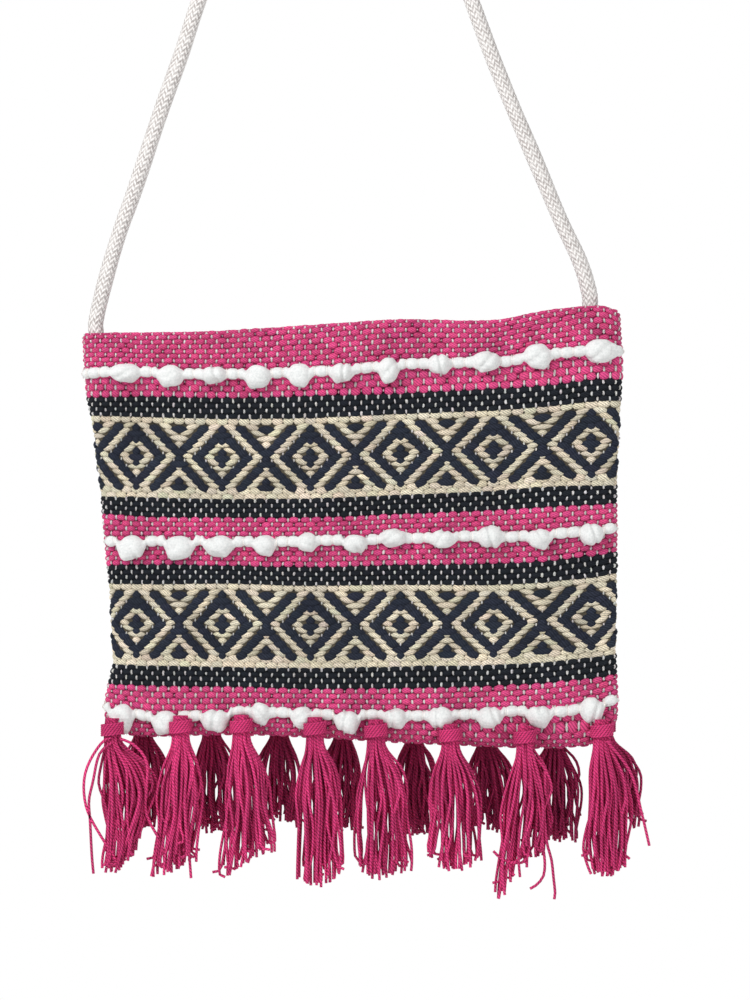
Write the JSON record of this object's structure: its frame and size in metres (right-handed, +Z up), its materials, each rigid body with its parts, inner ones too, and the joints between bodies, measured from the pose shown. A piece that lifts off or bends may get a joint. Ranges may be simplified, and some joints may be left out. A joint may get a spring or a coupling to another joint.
{
  "type": "woven tassel shoulder bag",
  "caption": "Flat handwoven shoulder bag with diamond bands, rows of white bobbles, a tassel fringe along the folded bottom and a rope strap, hanging by the strap.",
  "frame": {"origin": "underside of the strap's top bend, where a peg, a hook or a shoulder holds the bag", "axes": "+Z up as the bag hangs, -Y out of the front panel, +X to the right as the front is seen"},
  "size_m": [0.3154, 0.0522, 0.6743],
  "materials": {
    "woven_cloth": "matt weft-faced cotton in pink, black and cream",
    "jersey_yarn": "smooth matt stretch jersey",
    "tassel_yarn": "matt two-ply yarn",
    "cotton_rope": "matt braided cotton",
    "lining_cloth": "plain matt cotton"
  },
  "bodies": {
    "root": {"woven_shell": "woven_cloth", "lining": "lining_cloth", "strap": "cotton_rope", "front_bobble_cord_upper": "jersey_yarn", "front_bobble_cord_middle": "jersey_yarn", "front_bobble_cord_lower": "jersey_yarn", "back_bobble_cord_upper": "jersey_yarn", "back_bobble_cord_middle": "jersey_yarn", "back_bobble_cord_lower": "jersey_yarn", "front_tassel_1": "tassel_yarn", "front_tassel_2": "tassel_yarn", "front_tassel_3": "tassel_yarn", "front_tassel_4": "tassel_yarn", "front_tassel_5": "tassel_yarn", "front_tassel_6": "tassel_yarn", "front_tassel_7": "tassel_yarn", "front_tassel_8": "tassel_yarn", "back_tassel_1": "tassel_yarn", "back_tassel_2": "tassel_yarn", "back_tassel_3": "tassel_yarn", "back_tassel_4": "tassel_yarn", "back_tassel_5": "tassel_yarn", "back_tassel_6": "tassel_yarn", "back_tassel_7": "tassel_yarn", "back_tassel_8": "tassel_yarn", "front_tassel_binding_1": "tassel_yarn", "front_tassel_binding_2": "tassel_yarn", "front_tassel_binding_3": "tassel_yarn", "front_tassel_binding_4": "tassel_yarn", "front_tassel_binding_5": "tassel_yarn", "front_tassel_binding_6": "tassel_yarn", "front_tassel_binding_7": "tassel_yarn", "front_tassel_binding_8": "tassel_yarn", "back_tassel_binding_1": "tassel_yarn", "back_tassel_binding_2": "tassel_yarn", "back_tassel_binding_3": "tassel_yarn", "back_tassel_binding_4": "tassel_yarn", "back_tassel_binding_5": "tassel_yarn", "back_tassel_binding_6": "tassel_yarn", "back_tassel_binding_7": "tassel_yarn", "back_tassel_binding_8": "tassel_yarn"}
  },
  "joints": []
}
